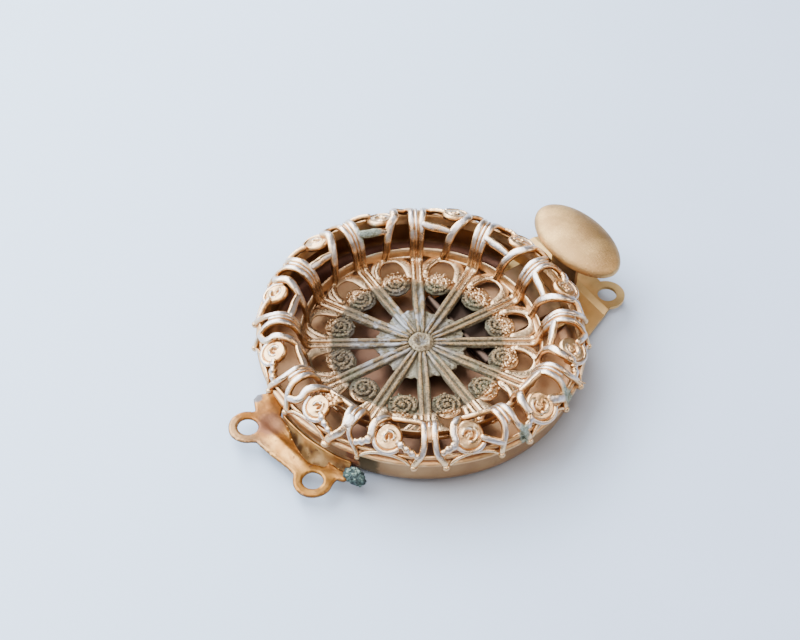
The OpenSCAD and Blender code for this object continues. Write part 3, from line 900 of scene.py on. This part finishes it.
def painted_shade_inside(finish, outside, inside, deepest):
    """A strip's colour along its length: its own outside the slot, and painted shade in two steps within the
    box.
    """
    within = finish.mix(finish.axis(0).between(*deep_inside), deepest, inside)
    return finish.mix(finish.axis(0).between(*slot_edge), within, outside)


satin = Finish("satin_gilt_sheet")
sheet_cloud = satin.noise(0.7, 4)
sheet_scuff = satin.noise(1.0, 4, 0.7, satin.stretched(1.0, 7.0, 1.0))
satin.bump(sheet_scuff, 0.012)
satin_gold = satin.mix(sheet_cloud.between(0.35, 0.65), (0.57, 0.34, 0.125), (0.70, 0.445, 0.18))
# Over the bend the colour is painted darker to hold back the bright facet there: painted shade.
bend = satin.axis(0).hill(11.5, 11.62, 11.98, 12.1)
outer_end = satin.mix(bend * 0.5, satin_gold, (0.33, 0.19, 0.07))
satin.wear(
    base_color=painted_shade_inside(satin, outer_end, (0.34, 0.20, 0.11), (0.06, 0.037, 0.027)),
    roughness=0.3 + sheet_scuff * 0.2 + bend * 0.15,
)
# The spring leaf is painted dark, as in shade between the press and the rim, and darker still within the box:
# painted shade.
shaded_leaf = Finish("spring_brass_in_painted_shade")
leaf_cloud = shaded_leaf.noise(0.9, 4)
shaded_leaf.bump(leaf_cloud, 0.02)
leaf_gold_in_shade = shaded_leaf.mix(leaf_cloud.between(0.35, 0.65), (0.16, 0.095, 0.05), (0.27, 0.17, 0.09))
shaded_leaf.wear(
    base_color=painted_shade_inside(shaded_leaf, leaf_gold_in_shade, (0.30, 0.17, 0.095), (0.055, 0.034, 0.025)),
    roughness=0.36 + leaf_cloud * 0.25,
)
dress("tongue_plate", satin)
dress("spring_leaf", shaded_leaf)

# The fixed end is a stamped sheet with two eyelets, of a redder, glossy brass. A soft ridge
# runs along it, its edges are worn, and the metal punched from its window is bent down
# against the box. Heat has stained it, and one arm is covered by a lump of verdigris.

plate_turn = np.radians(190.5)
plate_out = np.array([np.cos(plate_turn), np.sin(plate_turn), 0])
plate_side = np.array([-np.sin(plate_turn), np.cos(plate_turn), 0])
plate_top = 1.2
plate_thick = 0.25
eyelet_out = 12.05
eyelet_side = 2.8
eyelet_radius = 0.62
ear_radius = 1.17


def off_outline(u, v, corners):
    """Signed distance to a closed outline, below 0 inside it.

    Inside is where a ray along u crosses it an odd number of times, and the distance is
    the least one to its edges. No edge may run exactly along u."""
    a = np.asarray(corners, float)
    b = np.roll(a, -1, axis=0)
    du, dv = (b - a)[:, 0][:, None], (b - a)[:, 1][:, None]
    pu, pv = u.reshape(1, -1) - a[:, :1], v.reshape(1, -1) - a[:, 1:]
    share = np.clip((pu * du + pv * dv) / (du**2 + dv**2), 0, 1)
    distance = np.min(np.hypot(pu - share * du, pv - share * dv), axis=0)
    spans = (a[:, 1:] > v.reshape(1, -1)) != (b[:, 1:] > v.reshape(1, -1))
    crossed = spans & (pu < pv * du / dv)
    inside = np.sum(crossed, axis=0) % 2 == 1
    return np.where(inside, -distance, distance).reshape(u.shape)


def soft_union(first, second, reach):
    """The lower of two distances, with the corner between them filled over that reach."""
    h = np.clip(0.5 + 0.5 * (second - first) / reach, 0, 1)
    return second + (first - second) * h - reach * h * (1 - h)


def on_plate(flat):
    """Points given along the plate, across it and upwards, in the clasp's own directions."""
    return flat[..., :1] * plate_out + flat[..., 1:2] * plate_side + flat[..., 2:] * upward


plate_outline = [
    (8.6, -3.55), (9.4, -3.85), (9.97, -4.2), (10.37, -4.12), (10.68, -3.69), (11.0, -3.25), (11.6, -2.6),
    (12.4, -1.9), (12.5, -1.2), (12.5, 0), (12.46, 0.9), (12.5, 1.7), (12.0, 2.9), (11.4, 3.7), (10.99, 3.72),
    (10.8, 4.1), (10.2, 4.3), (9.7, 4.2), (9.9, 3.7), (10.29, 3.55), (10.38, 3.0), (10.41, 2.45), (10.8, 2.6),
    (11.17, 2.72), (11.32, 2.13), (11.32, 1.35), (11.2, 0.84), (11.0, 0.25), (10.77, -0.32), (10.57, -0.6),
    (10.29, -1.28), (10.08, -2.04), (9.6, -2.4), (8.6, -2.5),
]


def plate_edge(u, v):
    """Signed distance to the plate's edge: body and ears together, less the two eyelets."""
    body = off_outline(u, v, plate_outline)
    body = body + 0.02 * np.sin(21 * v + 3 * u) * np.sin(9 * v) * np.clip(u - 12, 0, 0.5) * 2
    for side in (-1, 1):
        reach = np.hypot(u - eyelet_out, v - side * eyelet_side)
        body = np.maximum(soft_union(body, reach - ear_radius, 0.25), eyelet_radius - reach)
    return body


def plate_height(u, v):
    """The sheet's top: a soft ridge, a dent beside it and a slight unevenness."""
    along = np.clip(1 - (v / 2.5) ** 2, 0, 1)
    ridge = 0.2 * along * np.exp(-(((u - 11.55 - 0.06 * np.sin(1.3 * v)) / 0.36) ** 2))
    dent = 0.09 * np.exp(-(((u - 11) / 0.45) ** 2) - ((v + 1.9) / 0.5) ** 2)
    dip = 0.06 * np.exp(-(((u - 10.9) / 0.3) ** 2) - ((v - 0.2) / 0.9) ** 2)
    uneven = 0.02 * np.sin(2.7 * u + 1) * np.sin(1.9 * v + 2) + 0.008 * np.sin(7 * u + 4 * v)
    return plate_top + ridge - dent - dip + uneven


def cut_sheet(edge_at, height_at, low, high, pitch, thick, bevel):
    """A sheet cut from a grid: points near the edge are moved onto it along the distance's slope.

    Near the edge, at depth d < bevel, the top falls by bevel (1 - sqrt(1 - (1 - d / bevel)^2))."""
    columns, rows = (int((end - start) / pitch) + 1 for start, end in zip(low, high))
    u, v = np.meshgrid(low[0] + pitch * np.arange(columns), low[1] + pitch * np.arange(rows))
    step = 0.01
    for _ in range(2):
        d = edge_at(u, v)
        gu = (edge_at(u + step, v) - edge_at(u - step, v)) / (2 * step)
        gv = (edge_at(u, v + step) - edge_at(u, v - step)) / (2 * step)
        near = np.abs(d) < 0.75 * pitch
        u, v = np.where(near, u - d * gu, u), np.where(near, v - d * gv, v)
    kept = edge_at(u, v) < 0.05 * pitch
    cell = kept[:-1, :-1] & kept[1:, :-1] & kept[:-1, 1:] & kept[1:, 1:]
    index = np.arange(rows * columns).reshape(rows, columns)
    quads = np.stack([index[:-1, :-1], index[:-1, 1:], index[1:, 1:], index[1:, :-1]], -1)[cell]
    depth = np.clip(-edge_at(u, v), 0, bevel) / bevel
    fall = bevel * (1 - np.sqrt(np.clip(1 - (1 - depth) ** 2, 0, 1)))
    top = height_at(u, v) - fall
    bottom = height_at(u, v) - thick + fall
    used, inverse = np.unique(quads, return_inverse=True)
    quads = inverse.reshape(quads.shape)
    count = len(used)
    edges = np.concatenate([quads[:, [n, (n + 1) % 4]] for n in range(4)])
    codes = edges[:, 0] * count + edges[:, 1]
    back = edges[:, 1] * count + edges[:, 0]
    border = edges[~np.isin(codes, back)]
    walls = np.stack([border[:, 1], border[:, 0], border[:, 0] + count, border[:, 1] + count], 1)
    u, v = u.ravel()[used], v.ravel()[used]
    points = np.concatenate([points_at(u, v, side.ravel()[used]) for side in (top, bottom)])
    return points, np.concatenate([quads, quads[:, ::-1] + count, walls])


sheet, sheet_faces = cut_sheet(plate_edge, plate_height, (8.5, -4.5), (13.4, 4.5), 0.075, plate_thick, 0.07)
plate_shell = (on_plate(sheet), sheet_faces, [], np.full(len(sheet), 0.7))

lip_radius = 10.12
lip_thick = 0.12
lip_top, lip_drop = 1.08, 0.98
down = np.linspace(0, 1, 14)[:, None]
lip_side = np.linspace(-2.0, 3.4, 60)[None, :]
lip_bow = 0.07 * np.sin(3.1 * lip_side + 0.5) + 0.03 * np.sin(7.3 * lip_side + 1)
lip_out = np.sqrt(lip_radius**2 - lip_side**2) + 0.85 * down**1.5 + lip_bow * np.sin(np.pi * down)
front = points_at(lip_out, lip_side, lip_top - lip_drop * down)
behind = front - [lip_thick, 0, 0]
lip_rings = np.moveaxis(np.concatenate([front, behind[::-1]]), 1, 0)
lip_shell = closed_shell(on_plate(lip_rings), 0.5)

copper = Finish("worn_copper_plate")
flow = copper.noise(0.55, 3)
speck = copper.noise(4.5, 4)
drawn_lines = copper.noise(1.0, 3, place=copper.stretched(2.6, 0.7, 1.0))
painted_reflection_streaks = copper.noise(1.0, 1, place=copper.stretched(1.5, 1.5, 0.2))
left_eyelet = copper.along(tuple(plate_out)).between(11.7, 12.5) * copper.axis(1).between(-2.2, -1.0)
reddish = blot(copper, (-11.16, -0.14), 1.1, speck)
bluish = blot(copper, (-10.73, 2.18), 0.45, speck)
outer = copper.from_axis().between(11.0, 11.4)
worn_edge = copper.axis(2).below(1.08, 1.16) * outer * speck.between(0.36, 0.56)
copper_colour = copper.layers(
    copper.mix(flow.between(0.35, 0.65), (0.27, 0.10, 0.021), (0.60, 0.30, 0.088)),
    (drawn_lines.between(0.5, 0.66) * 0.6, (0.27, 0.105, 0.03)),
    (left_eyelet * 0.75, (0.27, 0.15, 0.075)),
    (blot(copper, (-11.34, -4.95), 1.4, speck) * 0.8, (0.30, 0.135, 0.03)),
    (blot(copper, (-10.8, 0.9), 0.9, speck) * 0.55, (0.22, 0.095, 0.035)),
    (reddish * 0.85, (0.14, 0.06, 0.036)),
    (bluish * 0.8, (0.16, 0.19, 0.22)),
    (worn_edge * 0.85, (0.15, 0.115, 0.09)),
    # The bent-down lip, low against the box, is painted in shade, with streaks of painted reflection running
    # down it.
    (copper.axis(2).below(0.55, 0.95) * 0.95,
     copper.mix(painted_reflection_streaks.between(0.38, 0.62), (0.17, 0.085, 0.036), (0.50, 0.30, 0.125))),
    (speck.between(0.61, 0.70) * 0.75, (0.13, 0.06, 0.032)),
)
copper.bump(flow * 0.7 + speck * 0.12, 0.09)
copper.wear(
    base_color=copper_colour,
    roughness=(0.29 + speck * 0.2 + (bluish + worn_edge) * 0.3 + reddish * 0.12).bounded(),
)
add_piece("fixed_end_plate", [plate_shell, lip_shell], copper, "box", ["end_plate"])

# Verdigris has grown in a dark, crumbly lump on the right arm of the fixed end, and in thin
# crusts of grains at a few places on the rim.

lump_out, lump_side = 10.15, 4.35
lump_grains = 260
lump_shells = []
for a, b, c, d in chance.normal(0, 1, (lump_grains, 4)):
    size = 0.085 + 0.02 * abs(d)
    dome = 1 - (0.2 * a / 0.5) ** 2 - (0.3 * b / 0.75) ** 2
    if dome > 0:
        rise = 1.2 + 0.3 * np.sqrt(dome) + 0.02 * c
        centre = on_plate(np.array([lump_out + 0.2 * a, lump_side + 0.3 * b, rise]))
        lump_shells.append(bead(centre, size, size * 0.9, rows=6, sides=8, tone=0.5 + 0.5 * (c > 0.8)))
core_tilt = np.linspace(0.03, np.pi - 0.03, 22)[:, None]
core_turn = full_turn(40)
core_bump = 1 + 0.06 * np.sin(5 * core_turn + 3 * core_tilt) + 0.05 * np.sin(9 * core_turn)
core = points_at(
    lump_out + 0.48 * core_bump * np.sin(core_tilt) * np.cos(core_turn),
    lump_side + 0.72 * core_bump * np.sin(core_tilt) * np.sin(core_turn),
    1.18 + 0.3 * np.cos(core_tilt))
lump_shells.append(closed_shell(on_plate(core), 0.2))

green = Finish("verdigris_crust", metallic=0.0)
patch = green.noise(3.2, 3)
# Pale grains are pale only on their upper parts, where relief is high: grain colour with painted light.
pale_grain_lit_on_top = green.note("relief").between(0.7, 0.95) * patch.between(0.45, 0.6)
dark_green = green.mix(patch.between(0.35, 0.6), (0.012, 0.022, 0.024), (0.05, 0.085, 0.075))
green.bump(green.noise(11, 2), 0.04)
green.wear(
    base_color=green.mix(pale_grain_lit_on_top, dark_green, (0.23, 0.30, 0.25)),
    roughness=0.7 + patch * 0.2,
)
add_piece("verdigris_lump", lump_shells, green, "box")
